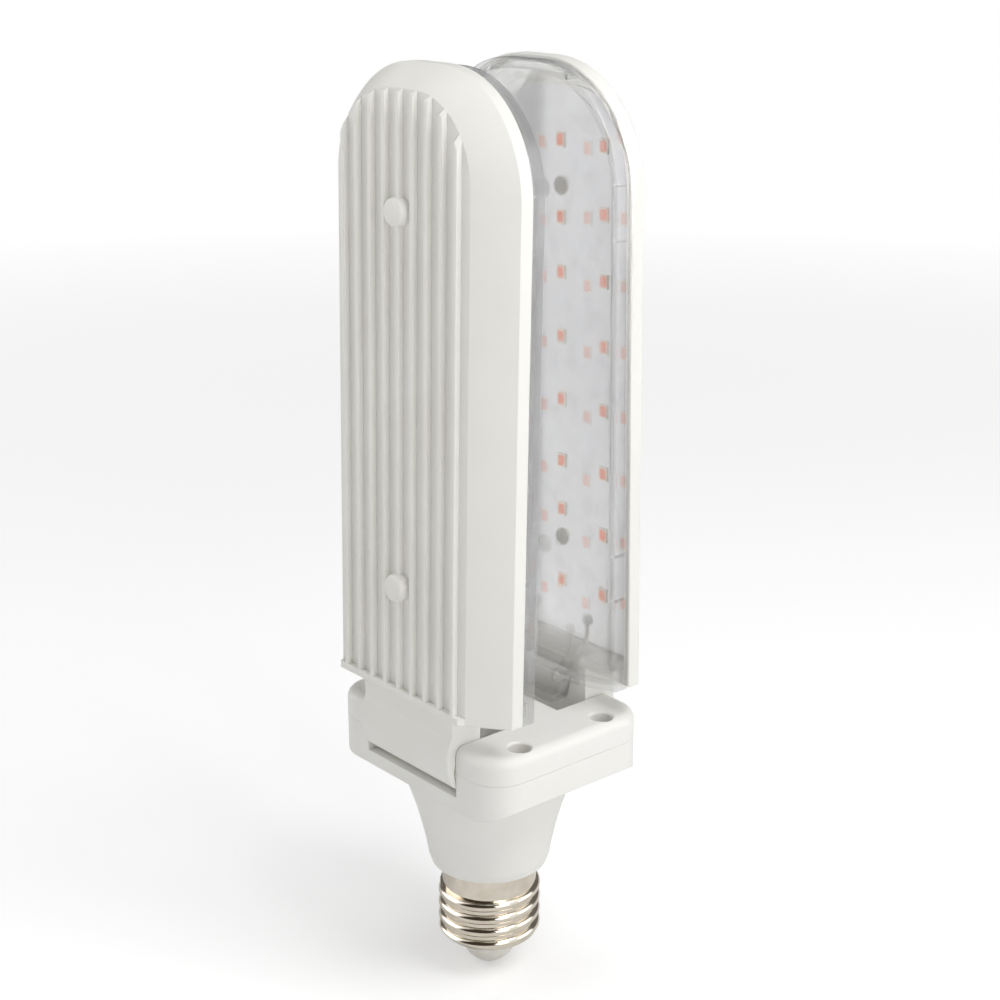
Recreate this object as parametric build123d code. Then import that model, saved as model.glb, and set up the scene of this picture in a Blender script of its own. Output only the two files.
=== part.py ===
from build123d import *
import math
import os

# Two-petal grow bulb. The screw cap's tip is the origin and +Z runs up through the cap and the neck.
# The two petals hinge about lines along Y and stand on the -X side (a) and on the +X side (b).
# A petal is drawn upright about its own hinge line: x points out of its finned back, y along the
# hinge and z up the petal.

# Screw cap, the 27 mm Edison size
thread_pitch = 3.629
thread_crest_r = 13.2
thread_arc_r = 1.025
thread_depth = 1.0
thread_turns = 4
thread_start_z = 9.19
thread_skirt = 0.25
thread_lift = 0.1
cap_wall = 0.6
cap_low_z = 8.8
cap_shoulder_h = 2.6
cap_shoulder_out = 0.6
cap_shoulder_up = 0.45
cap_step = 2.0
cap_top_z = 30.7
collar_r = 12.75
collar_h = 6.8
collar_ramp = 0.6

# Insulator and centre contact
plug_h = 1.4
plug_dish_rim = 2.5
plug_dish_depth = 2.5
plug_sleeve = 1.2
foot_r = 7.2
foot_centre_z = 7.9
foot_side_h = 0.3
contact_r = 2.4
contact_flat_r = 0.6
contact_z = 1.1
contact_h = 0.4
stem_r = 1.3
stem_h = 10.4
stem_bore_h = 3.0

# Neck and hinge block
neck_foot_r = 15.0
neck_foot_edge = 0.6
neck_lip_r = 15.6
neck_lip_h = 2.3
neck_flare_r = 23.0
neck_flare_sag = 0.85
neck_wall = 2.2
neck_ledge = 1.0
spigot_h = 15.5
spigot_wall = 1.4
block_half_x = 25.0
block_half_y = 31.5
block_corner_r = 8.3
block_low_z = 58.7
block_seam_z = 68.65
block_top_z = 75.5
block_end_r = 13.6
block_end_reach = 8.2
block_top_r = 2.6
block_wall = 1.9

# Knuckle slots in the block
cheek_gap = 0.3
slot_floor_z = 62.3
bridge_half_x = 8.3
bridge_edge_r = 1.2

# Housing screws
screw_x = 13.3
screw_edge = 4.5
screw_shank_r = 1.45
screw_head_r = 2.55
screw_head_h = 1.5
screw_head_edge = 0.5
screw_cross_l = 2.8
screw_cross_w = 0.6
screw_cross_depth = 0.8
screw_sink = 4.1
screw_shank_l = 8.6
screw_well_r = 2.8
screw_well_edge = 0.4

# Hinge
hinge_x = 21.6
toe_in = 1.146
pin_r = 2.0
pin_bore_r = 1.1
pin_in_ear = 3.0
pin_in_arm = 4.8
washer_r = 3.6
washer_t = 1.0
washer_proud = 0.2
trench_w = 2.8
trench_h = 2.4

# Petal outline
petal_half_w = 32.5
petal_low = 15.4
petal_top = 164.1
petal_corner_r = 28.0
fin_half_w = 22.85
fin_top = 157.85
fin_corner_r = 18.55
fin_slope = 0.95
bevel_turn = 10.0
bevel_steps = 3

# Petal depths, from the hinge line out of the back
crest_x = 7.69
groove_depth = 1.5
rim_back_x = -0.78
rim_front_x = -4.25
cover_front_x = -8.55
floor_x = 4.9
low_floor_x = 3.4
shell_wall = 1.8
mouth_step = 0.4

# Fins
fin_pitch = 5.11
groove_count = 10
groove_w = 4.05
fin_strip = 1.75

# Arm between petal and hinge
arm_half_y = 17.1
arm_back_x = 4.82
arm_end_r = 5.3
bulge_r = 13.5
bulge_x = -7.5
bulge_z = 3.7
arm_wall = 2.2
ledge_z = 11.9
duct_half_y = 12.0
duct_half_x = 2.3
duct_low = -1.7

# Board, LEDs and board screws
board_t = 0.8
board_half_w = 22.6
board_low = 17.9
board_top = 156.6
board_corner_r = 18.0
led_column_y = 15.0
led_first = 32.4
led_pitch = 15.9
led_rows = 8
led_screw_gap = 7.45
led_w = 2.8
led_h = 3.5
led_t = 0.65
window_w = 2.2
window_h = 2.7
window_corner_r = 0.5
window_depth = 0.3
window_sink = 0.03
board_screw_low = 44.0
board_screw_high = 132.8
board_screw_r = 1.3
board_screw_head_r = 2.3
board_screw_head_h = 0.75
board_screw_head_edge = 0.4
board_screw_cross_l = 2.6
board_screw_cross_w = 0.55
board_screw_cross_depth = 0.45
board_screw_l = 4.2
board_top_gap = 1.0
boss_r = 3.3
boss_drop = 0.9
boss_x = 9.2
boss_edge = 0.9
joint_y = 9.7
joint_z = 23.9
joint_r = 1.4
joint_h = 1.7
joint_dome_r = 0.84
feed_rise_y = 6.5
feed_rise_over = 1.0
feed_lift = 0.2
feed_start = 1.0
feed_bend_z = 3.0
feed_end = 0.4

# Clear cover
cover_inset = 0.6
cover_wall = 1.4
cover_low_mid = 11.3
cover_low_side = 15.0
cover_edge_r = 0.7
cover_lip = 1.5
cover_lip_w = 1.2
cover_lip_low = 20.0
tongue_half_top = 13.4
tongue_half_low = 10.2
tongue_low = 4.5
tongue_corner_r = 2.5
tongue_step = 0.01

# Driver
driver_half_w = 9.5
driver_low_z = 28.5
driver_top_z = 54.0
driver_t = 1.6
rail_half_y = 2.2
rail_low_z = 32.0
rail_top_z = 50.0
rail_bite = 0.8
capacitor_r = 4.0
capacitor_l = 12.0
capacitor_z = 46.5
capacitor_edge = 0.5
crimp_from_end = 1.8
crimp_w = 0.6
crimp_depth = 0.35
choke_r = 3.6
choke_core_r = 2.0
choke_flange = 1.0
choke_h = 7.0
choke_z = 36.0
choke_x = -4.2
winding_sink = 0.5
rectifier_w = 6.0
rectifier_h = 5.0
rectifier_t = 2.4
rectifier_x = 4.6
rectifier_z = 36.0
rectifier_edge = 0.3
rectifier_lift = 0.2
rectifier_foot_x = 1.8
rectifier_foot_half_w = 0.4
rectifier_foot_half_h = 0.7
rectifier_foot_t = 0.6
fuse_r = 1.25
fuse_l = 5.5
fuse_z = 30.4
fuse_band = 1.2
fuse_band_r = 0.85
fuse_lead_x = 0.8
fuse_lead_r = 0.4

# Wires in the base
wire_r = 0.55
feed_x = 3.5
feed_low = 4.0
feed_high = 6.0
feed_lane_y = 9.0
feed_end_x = 1.0
lead_x = 6.5
lead_high = 3.5
lead_low = 6.0
shell_lead_x = 7.5
shell_lead_high = 0.5
shell_lead_low = 1.7
contact_lead_high = 4.0
contact_lead_low = 2.5

# Clearances
seat_gap = 0.1
turn_gap = 0.05
press_gap = 0.02
part_gap = 0.3
board_gap = 0.3

# How far a cutting shape reaches past the face that it opens
over = 1.0

# Sizes that follow from the ones above
slot_half_y = arm_half_y + cheek_gap
screw_y = block_half_y - screw_edge
thread_root_r = thread_crest_r - thread_depth
cap_inner_r = thread_root_r - cap_wall
spigot_r = cap_inner_r - seat_gap
spigot_low_z = cap_top_z - spigot_h
groove_x = crest_x - groove_depth
board_back_x = floor_x
board_front_x = board_back_x - board_t
screw_seat_z = block_top_z - screw_sink - screw_head_h
trench_y = slot_half_y + pin_in_ear
board_screw_zs = (board_screw_low, board_screw_high)


def upright_cylinder(radius, low, high, x=0.0, y=0.0):
    """A cylinder along Z between two heights."""
    return Pos(x, y, (low + high) / 2) * Cylinder(radius, high - low)


def span_box(x0, x1, y0, y1, z0, z1):
    """A box between two corners."""
    centre = Pos((x0 + x1) / 2, (y0 + y1) / 2, (z0 + z1) / 2)
    return centre * Box(abs(x1 - x0), abs(y1 - y0), abs(z1 - z0))


def bar_y(radius, y0, y1, x=0.0, z=0.0):
    """A cylinder along Y between two places."""
    return Pos(x, (y0 + y1) / 2, z) * Rot(90, 0, 0) * Cylinder(radius, abs(y1 - y0))


def bar_x(radius, x0, x1, y=0.0, z=0.0):
    """A cylinder along X between two places."""
    return Pos((x0 + x1) / 2, y, z) * Rot(0, 90, 0) * Cylinder(radius, abs(x1 - x0))


def turned(*edges):
    """A solid turned about Z from a closed outline in the XZ plane."""
    return revolve(make_face(Curve() + list(edges)), Axis.Z)


def arch(half_w, top, corner_r, low):
    """A face with straight sides, a square foot and two rounded top corners."""
    plain = Pos(0, (low + top) / 2) * Rectangle(2 * half_w, top - low)
    return fillet(plain.vertices().group_by(Axis.Y)[-1], corner_r)


def standing(face, x):
    """Puts a face drawn across the petal at a depth of the petal."""
    return Plane.YZ.offset(x) * face


def slab(face, x0, x1):
    """A plate with the outline of a face between two depths of the petal."""
    return extrude(standing(face, min(x0, x1)), abs(x1 - x0), dir=(1, 0, 0))


def convex_run(w0, x0, w1, x1, turn, t):
    """A point on the arc from (w0, x0) to (w1, x1) that turns by the given angle."""
    chord = math.atan2(x0 - x1, w1 - w0)
    start = chord - math.radians(turn) / 2
    radius = math.hypot(w1 - w0, x1 - x0) / (2 * math.sin(math.radians(turn) / 2))
    angle = start + math.radians(turn) * t
    width = w0 + radius * (math.sin(angle) - math.sin(start))
    depth = x0 - radius * (math.cos(start) - math.cos(angle))
    return width, depth


def bevelled(narrow, narrow_x, wide, wide_x, low, turn):
    """A lofted body between two arches, each (half width, top, corner radius), with a convex bevel."""
    faces = []
    for step in range(bevel_steps + 1):
        width, depth = convex_run(narrow[0], narrow_x, wide[0], wide_x, turn, step / bevel_steps)
        share = (width - narrow[0]) / (wide[0] - narrow[0])
        top = narrow[1] + share * (wide[1] - narrow[1])
        corner = narrow[2] + share * (wide[2] - narrow[2])
        faces.append(standing(arch(width, top, corner, low), depth))
    return loft(faces)


def wire(points, radius, bends):
    """A round wire along straight runs joined by tangent arcs."""
    path = FilletPolyline(*points, radius=bends)
    section = Plane(origin=path @ 0, z_dir=path % 0) * Circle(radius)
    return sweep(section, path=path)


def bend_radii(points, share=0.45):
    """The largest even bend that each corner's two runs allow."""
    radii = []
    for before, corner, after in zip(points, points[1:], points[2:]):
        arrive = Vector(*corner) - Vector(*before)
        leave = Vector(*after) - Vector(*corner)
        run = min(arrive.length, leave.length)
        half_turn = math.radians(arrive.get_angle(leave)) / 2
        radii.append(share * run / math.tan(half_turn))
    print("bend radii", [round(r, 1) for r in radii])
    return radii


def flare_arc(wall, low_z):
    """The arc from the neck's lip, begun at a height, out to the block, moved inwards by a wall."""
    low = (neck_lip_r - wall, 0, low_z)
    high = (neck_flare_r - wall, 0, block_low_z)
    mid_r = (neck_lip_r + neck_flare_r) / 2 - neck_flare_sag - wall
    mid_z = (cap_top_z + neck_lip_h + block_low_z) / 2
    return ThreePointArc(low, (mid_r, 0, mid_z), high)


def neck_outside():
    """The neck and its spigot as a turned solid, with a flat foot that sits on the cap."""
    low_z = spigot_low_z
    flat_r = neck_foot_r - neck_foot_edge
    turn = neck_foot_edge * (1 - math.sqrt(0.5))
    flare = flare_arc(0.0, cap_top_z + neck_lip_h)
    return turned(
        Line((0, 0, low_z), (spigot_r, 0, low_z)),
        Line((spigot_r, 0, low_z), (spigot_r, 0, cap_top_z)),
        Line((spigot_r, 0, cap_top_z), (flat_r, 0, cap_top_z)),
        ThreePointArc(
            (flat_r, 0, cap_top_z),
            (neck_foot_r - turn, 0, cap_top_z + turn),
            (neck_foot_r, 0, cap_top_z + neck_foot_edge),
        ),
        Line((neck_foot_r, 0, cap_top_z + neck_foot_edge), flare @ 0),
        flare,
        Line(flare @ 1, (0, 0, block_low_z)),
        Line((0, 0, block_low_z), (0, 0, low_z)),
    )


def neck_inside(wall, low_r):
    """The room inside the neck at a wall's depth, with a ramp over the foot and a straight bore below."""
    low_z = spigot_low_z
    ledge_low = cap_top_z + neck_ledge
    flare = flare_arc(wall, cap_top_z + neck_lip_h + wall)
    return turned(
        Line((0, 0, low_z), (low_r, 0, low_z)),
        Line((low_r, 0, low_z), (low_r, 0, ledge_low)),
        Line((low_r, 0, ledge_low), flare @ 0),
        flare,
        Line(flare @ 1, (0, 0, block_low_z)),
        Line((0, 0, block_low_z), (0, 0, low_z)),
    )


def screw_shell():
    """Rolled screw thread with its plain collar, open below around the insulator."""
    collar_low = cap_top_z - collar_h
    mouth_r = cap_inner_r - cap_step
    ease_r = thread_crest_r + seat_gap
    body = upright_cylinder(thread_root_r, cap_low_z, cap_top_z) + thread_ridge()
    body += upright_cylinder(collar_r, collar_low, cap_top_z)
    body += Pos(0, 0, collar_low - collar_ramp / 2) * Cone(thread_root_r, collar_r, collar_ramp)
    low = (mouth_r + cap_wall, 0, cap_low_z)
    shoulder = (ease_r, 0, cap_low_z + cap_shoulder_h)
    bulge_x = low[0] + cap_shoulder_out * (shoulder[0] - low[0])
    bulge = (bulge_x, 0, cap_low_z + cap_shoulder_up * cap_shoulder_h)
    envelope = turned(
        Line((0, 0, cap_low_z), low),
        ThreePointArc(low, bulge, shoulder),
        Line(shoulder, (ease_r, 0, cap_top_z)),
        Line((ease_r, 0, cap_top_z), (0, 0, cap_top_z)),
        Line((0, 0, cap_top_z), (0, 0, cap_low_z)),
    )
    hollow = upright_cylinder(cap_inner_r, cap_low_z + cap_shoulder_h, cap_top_z)
    mouth = upright_cylinder(mouth_r, cap_low_z, cap_low_z + cap_shoulder_h)
    return (body & envelope) - hollow - mouth


def thread_ridge():
    """One ridge of the round thread, wound round the root."""
    crest_r = thread_crest_r - thread_arc_r
    sink = thread_root_r - cap_wall / 2
    half = math.sqrt(thread_arc_r ** 2 - (thread_root_r - crest_r) ** 2) + thread_skirt
    helix = Helix(thread_pitch, thread_pitch * thread_turns, thread_root_r, center=(0, 0, thread_start_z))
    low = (sink, 0, thread_start_z - half)
    high = (sink, 0, thread_start_z + half)
    skirt_low = (thread_root_r + thread_lift, 0, thread_start_z - half)
    skirt_high = (thread_root_r + thread_lift, 0, thread_start_z + half)
    crest = (thread_crest_r, 0, thread_start_z)
    outline = Curve() + [
        Line(low, skirt_low),
        ThreePointArc(skirt_low, crest, skirt_high),
        Line(skirt_high, high),
        Line(high, low),
    ]
    return sweep(make_face(outline), path=helix, is_frenet=True)


def dome_height(radius):
    """The height of the foot's dome at a radius."""
    return foot_centre_z - math.sqrt(foot_r ** 2 - radius ** 2)


def cap_insulator():
    """Pale plug that closes the screw shell and ends in the domed foot."""
    seat_z = cap_low_z + cap_shoulder_h
    top_z = seat_z + plug_h
    mouth_r = cap_inner_r - cap_step - seat_gap
    rim_r = cap_inner_r - seat_gap
    side_z = foot_centre_z + foot_side_h
    seat_r = contact_r + press_gap
    seat_top = contact_z + contact_h
    tip = (seat_r, 0, dome_height(seat_r))
    middle = (foot_r * math.sqrt(0.5), 0, dome_height(foot_r * math.sqrt(0.5)))
    plug = turned(
        Line((0, 0, seat_top), (seat_r, 0, seat_top)),
        Line((seat_r, 0, seat_top), tip),
        ThreePointArc(tip, middle, (foot_r, 0, foot_centre_z)),
        Line((foot_r, 0, foot_centre_z), (foot_r, 0, side_z)),
        Line((foot_r, 0, side_z), (mouth_r, 0, cap_low_z)),
        Line((mouth_r, 0, cap_low_z), (mouth_r, 0, seat_z)),
        Line((mouth_r, 0, seat_z), (rim_r, 0, seat_z)),
        Line((rim_r, 0, seat_z), (rim_r, 0, top_z)),
        Line((rim_r, 0, top_z), (0, 0, top_z)),
        Line((0, 0, top_z), (0, 0, seat_top)),
    )
    bore = upright_cylinder(stem_r + press_gap, 0, top_z + over)
    dish = upright_cylinder(mouth_r - plug_dish_rim, seat_z - plug_dish_depth, top_z + over)
    dish -= upright_cylinder(stem_r + plug_sleeve, 0, top_z + over)
    return plug - bore - dish


def centre_contact():
    """Domed contact with the hollow stem that takes the lead."""
    span = contact_r ** 2 + contact_z ** 2 - contact_flat_r ** 2
    centre_z = span / (2 * contact_z)
    round_r = math.hypot(contact_flat_r, centre_z)
    middle_r = (contact_flat_r + contact_r) / 2
    middle = (middle_r, 0, centre_z - math.sqrt(round_r ** 2 - middle_r ** 2))
    top_z = contact_z + contact_h
    button = turned(
        Line((0, 0, 0), (contact_flat_r, 0, 0)),
        ThreePointArc((contact_flat_r, 0, 0), middle, (contact_r, 0, contact_z)),
        Line((contact_r, 0, contact_z), (contact_r, 0, top_z)),
        Line((contact_r, 0, top_z), (0, 0, top_z)),
        Line((0, 0, top_z), (0, 0, 0)),
    )
    stem = upright_cylinder(stem_r, top_z, stem_h)
    bore = upright_cylinder(wire_r + seat_gap, stem_h - stem_bore_h, stem_h)
    return button + stem - bore


def block_prism(low, high):
    """The hinge block's plan between two heights."""
    plan = RectangleRounded(2 * block_half_x, 2 * block_half_y, block_corner_r)
    return extrude(Pos(0, 0, low) * plan, high - low)


def screw_places():
    """Places of the housing screws in plan."""
    return [(sx * screw_x, sy * screw_y) for sx in (-1, 1) for sy in (-1, 1)]


def pin_seats():
    """Bores of the hinge pins in both ears, and the wiring trench behind them."""
    cuts = []
    bore_r = pin_r + turn_gap
    near_y = slot_half_y - over
    for side in (-1, 1):
        for end in (-1, 1):
            cuts.append(bar_y(bore_r, end * near_y, end * trench_y, side * hinge_x, block_seam_z))
    half_x = hinge_x + pin_bore_r + wire_r
    low_z = block_seam_z - trench_h
    high_z = block_seam_z + trench_h
    for end in (-1, 1):
        y0 = end * trench_y
        y1 = end * (trench_y + trench_w)
        cuts.append(span_box(-half_x, half_x, y0, y1, low_z, high_z))
    return cuts


def knuckle_slots():
    """The two openings that the arms swing in."""
    cuts = []
    for side in (-1, 1):
        x0 = side * bridge_half_x
        x1 = side * (block_half_x + over)
        cuts.append(span_box(x0, x1, -slot_half_y, slot_half_y, slot_floor_z, block_top_z + over))
    return cuts


def end_rise(reach):
    """How far the curved end of the block's bottom has risen at a distance from where it starts."""
    return block_low_z + block_end_r - math.sqrt(block_end_r ** 2 - reach ** 2)


def tub():
    """The side view of the block's lower half, with both ends of its bottom curved up."""
    flat_y = block_half_y - block_end_reach
    right = [(flat_y + reach, end_rise(reach)) for reach in (0, block_end_reach / 2, block_end_reach)]
    low_r, mid_r, high_r = [(0, y, z) for y, z in right]
    low_l, mid_l, high_l = [(0, -y, z) for y, z in right]
    outline = Curve() + [
        Line(low_l, low_r),
        ThreePointArc(low_r, mid_r, high_r),
        Line(high_r, (0, block_half_y, block_seam_z)),
        Line((0, block_half_y, block_seam_z), (0, -block_half_y, block_seam_z)),
        Line((0, -block_half_y, block_seam_z), high_l),
        ThreePointArc(high_l, mid_l, low_l),
    ]
    return extrude(make_face(outline), block_half_x, dir=(1, 0, 0), both=True)


def lower_housing():
    """Neck and lower half of the hinge block in one moulding."""
    body = tub() & block_prism(block_low_z, block_seam_z)
    body += neck_outside()
    cavity = neck_inside(neck_wall, spigot_r - spigot_wall)
    duct_y = trench_y + trench_w
    duct_x = bridge_half_x - block_wall
    duct = span_box(-duct_x, duct_x, -duct_y, duct_y, block_low_z - over, block_seam_z)
    rails = span_box(-block_half_x, block_half_x, -rail_half_y, rail_half_y, rail_low_z, rail_top_z)
    rail_x = driver_half_w - rail_bite
    rails -= span_box(-rail_x, rail_x, -rail_half_y, rail_half_y, rail_low_z, rail_top_z)
    slot_x = driver_half_w + seat_gap
    slot_y = driver_t / 2 + seat_gap
    rails -= span_box(-slot_x, slot_x, -slot_y, slot_y, rail_low_z, rail_top_z)
    body = body - cavity - duct
    body += rails & neck_inside(neck_wall / 2, spigot_r - spigot_wall / 2)
    for cut in knuckle_slots() + pin_seats():
        body -= cut
    for x, y in screw_places():
        tip = screw_seat_z - screw_shank_l - part_gap
        body -= upright_cylinder(screw_shank_r + turn_gap, tip, block_seam_z, x, y)
    return body


def upper_cover():
    """Upper half of the hinge block with the screw wells."""
    lid = block_prism(block_seam_z, block_top_z)
    lid = fillet(lid.edges().group_by(Axis.Z)[-1], block_top_r)
    for cut in knuckle_slots():
        lid -= cut
    crests = lid.edges().filter_by(Axis.Y).group_by(Axis.Z)[-1]
    lid = fillet(crests.filter_by(lambda edge: abs(edge.center().X) < bridge_half_x + over), bridge_edge_r)
    hollow_x = bridge_half_x - block_wall
    hollow_y = trench_y + trench_w
    lid -= span_box(-hollow_x, hollow_x, -hollow_y, hollow_y, block_seam_z, block_top_z - block_wall)
    for cut in pin_seats():
        lid -= cut
    for x, y in screw_places():
        well = upright_cylinder(screw_well_r, screw_seat_z, block_top_z, x, y)
        mouth = Pos(x, y, block_top_z - screw_well_edge / 2) * Cone(
            screw_well_r, screw_well_r + screw_well_edge, screw_well_edge
        )
        lid -= well
        lid -= mouth
        lid -= upright_cylinder(screw_shank_r + seat_gap, block_seam_z, screw_seat_z, x, y)
    return lid


def housing_screws():
    """Four cross-head screws that clamp the block's halves over the hinge pins."""
    screws = []
    for x, y in screw_places():
        head = upright_cylinder(screw_head_r, screw_seat_z, screw_seat_z + screw_head_h, x, y)
        head = fillet(head.edges().group_by(Axis.Z)[-1], screw_head_edge)
        shank = upright_cylinder(screw_shank_r, screw_seat_z - screw_shank_l, screw_seat_z, x, y)
        top = screw_seat_z + screw_head_h
        cross = Box(screw_cross_l, screw_cross_w, 2 * screw_cross_depth)
        for turn in (0, 90):
            head -= Pos(x, y, top) * Rot(0, 0, turn) * cross
        screws.append(head + shank)
    return Compound(screws)


def driver_board():
    """Board that stands in the rails of the neck."""
    half_t = driver_t / 2
    return span_box(-driver_half_w, driver_half_w, -half_t, half_t, driver_low_z, driver_top_z)


def filter_capacitor():
    """Can lying across the board, with its crimped groove."""
    y = driver_t / 2 + capacitor_r
    can = bar_x(capacitor_r, -capacitor_l / 2, capacitor_l / 2, y, capacitor_z)
    can = fillet(can.edges().filter_by(GeomType.CIRCLE), capacitor_edge)
    groove_at = capacitor_l / 2 - crimp_from_end
    groove = bar_x(capacitor_r + over, groove_at, groove_at + crimp_w, y, capacitor_z)
    groove -= bar_x(capacitor_r - crimp_depth, groove_at, groove_at + crimp_w, y, capacitor_z)
    return can - groove


def choke():
    """Drum core with its winding between two flanges."""
    y0 = driver_t / 2
    y1 = y0 + choke_h
    drum = bar_y(choke_core_r, y0, y1, choke_x, choke_z)
    drum += bar_y(choke_r, y0, y0 + choke_flange, choke_x, choke_z)
    drum += bar_y(choke_r, y1 - choke_flange, y1, choke_x, choke_z)
    return drum


def choke_winding():
    """Wound copper between the drum's flanges."""
    y0 = driver_t / 2 + choke_flange
    y1 = driver_t / 2 + choke_h - choke_flange
    outer = bar_y(choke_r - winding_sink, y0, y1, choke_x, choke_z)
    return outer - bar_y(choke_core_r + press_gap, y0, y1, choke_x, choke_z)


def bridge_rectifier():
    """Small moulded bridge on the board, with its four feet."""
    y0 = driver_t / 2
    x0 = rectifier_x - rectifier_w / 2
    z0 = rectifier_z - rectifier_h / 2
    body = span_box(x0, x0 + rectifier_w, y0 + rectifier_lift, y0 + rectifier_t, z0, z0 + rectifier_h)
    body = chamfer(body.edges().group_by(Axis.Y)[-1], rectifier_edge)
    for sx in (-1, 1):
        for sz in (-1, 1):
            x = rectifier_x + sx * rectifier_foot_x
            z = rectifier_z + sz * rectifier_h / 2
            half_w = rectifier_foot_half_w
            half_h = rectifier_foot_half_h
            body += span_box(x - half_w, x + half_w, y0, y0 + rectifier_foot_t, z - half_h, z + half_h)
    return body


def fuse_resistor():
    """Fusible resistor lying low on the board between its bent leads."""
    y = driver_t / 2 + fuse_r
    body = bar_x(fuse_r, -fuse_l / 2, fuse_l / 2, y, fuse_z)
    for side in (-1, 1):
        body += bar_x(fuse_band_r, side * fuse_l / 2, side * (fuse_l / 2 + fuse_band), y, fuse_z)
        foot_x = side * (fuse_l / 2 + fuse_lead_x)
        body += bar_y(fuse_lead_r, driver_t / 2, y, foot_x, fuse_z)
    return body


def shell_lead():
    """Lead from the board to the wall of the screw shell."""
    y = driver_t / 2 + wire_r
    points = [
        (-lead_x, y, driver_low_z + lead_high),
        (-lead_x, y, driver_low_z - lead_low),
        (-shell_lead_x, y, spigot_low_z - shell_lead_high),
        (-cap_inner_r + wire_r + seat_gap, y, spigot_low_z - shell_lead_low),
    ]
    return wire(points, wire_r, bend_radii(points))


def contact_lead():
    """Lead from the board into the stem of the centre contact."""
    y = driver_t / 2 + wire_r
    points = [
        (lead_x, y, driver_low_z + lead_high),
        (lead_x, y, driver_low_z - lead_low),
        (0, 0, stem_h + contact_lead_high),
        (0, 0, stem_h - contact_lead_low),
    ]
    return wire(points, wire_r, bend_radii(points))


def base_feed_wires():
    """Four wires from the board up through the bridge and along the trenches to the hinge pins."""
    wires = []
    lane = block_seam_z + wire_r + seat_gap
    for side in (-1, 1):
        for end in (-1, 1):
            y = end * (driver_t / 2 + wire_r)
            y_far = end * (trench_y + trench_w / 2)
            points = [
                (side * feed_x, y, driver_top_z - feed_low),
                (side * feed_x, y, driver_top_z + feed_high),
                (side * feed_x / 2, end * feed_lane_y, lane),
                (side * feed_x / 2, y_far, lane),
                (side * (hinge_x - feed_end_x), y_far, lane),
            ]
            wires.append(wire(points, wire_r, bend_radii(points)))
    return Compound(wires)


def circle_meet(x0, z0, r0, x1, z1, r1):
    """The lower one of the two points where two circles meet."""
    gap = math.hypot(x1 - x0, z1 - z0)
    along = (gap ** 2 + r0 ** 2 - r1 ** 2) / (2 * gap)
    across = math.sqrt(r0 ** 2 - along ** 2)
    ux = (x1 - x0) / gap
    uz = (z1 - z0) / gap
    found = [(x0 + along * ux - s * across * uz, z0 + along * uz + s * across * ux) for s in (-1, 1)]
    return min(found, key=lambda p: p[1] - p[0])


def arm_body():
    """The hinge arm with its round end, its bulged back and its flat face."""
    neck_z = bulge_z + math.sqrt(bulge_r ** 2 - (arm_back_x - bulge_x) ** 2)
    face_z = -math.sqrt(arm_end_r ** 2 - rim_front_x ** 2)
    meet_x, meet_z = circle_meet(0, 0, arm_end_r, bulge_x, bulge_z, bulge_r)
    high = petal_low + shell_wall
    outline = Curve() + [
        Line((rim_front_x, 0, high), (rim_front_x, 0, face_z)),
        ThreePointArc((rim_front_x, 0, face_z), (0, 0, -arm_end_r), (meet_x, 0, meet_z)),
        ThreePointArc((meet_x, 0, meet_z), (bulge_x + bulge_r, 0, bulge_z), (arm_back_x, 0, neck_z)),
        Line((arm_back_x, 0, neck_z), (arm_back_x, 0, high)),
        Line((arm_back_x, 0, high), (rim_front_x, 0, high)),
    ]
    return extrude(make_face(outline), arm_half_y, dir=(0, 1, 0), both=True)


def fin_field():
    """The raised field on the back: fins between grooves that run out at its top and at its sides."""
    base = (fin_half_w + fin_slope, fin_top + fin_slope, fin_corner_r + fin_slope)
    crest = (fin_half_w, fin_top, fin_corner_r)
    field = loft([standing(arch(*base, petal_low), groove_x), standing(arch(*crest, petal_low), crest_x)])
    first = -(groove_count - 1) / 2
    low = petal_low + fin_strip
    for number in range(groove_count):
        y = (first + number) * fin_pitch
        y0 = y - groove_w / 2
        y1 = y + groove_w / 2
        field -= span_box(groove_x - over, crest_x + over, y0, y1, low, petal_top)
    return field


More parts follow.
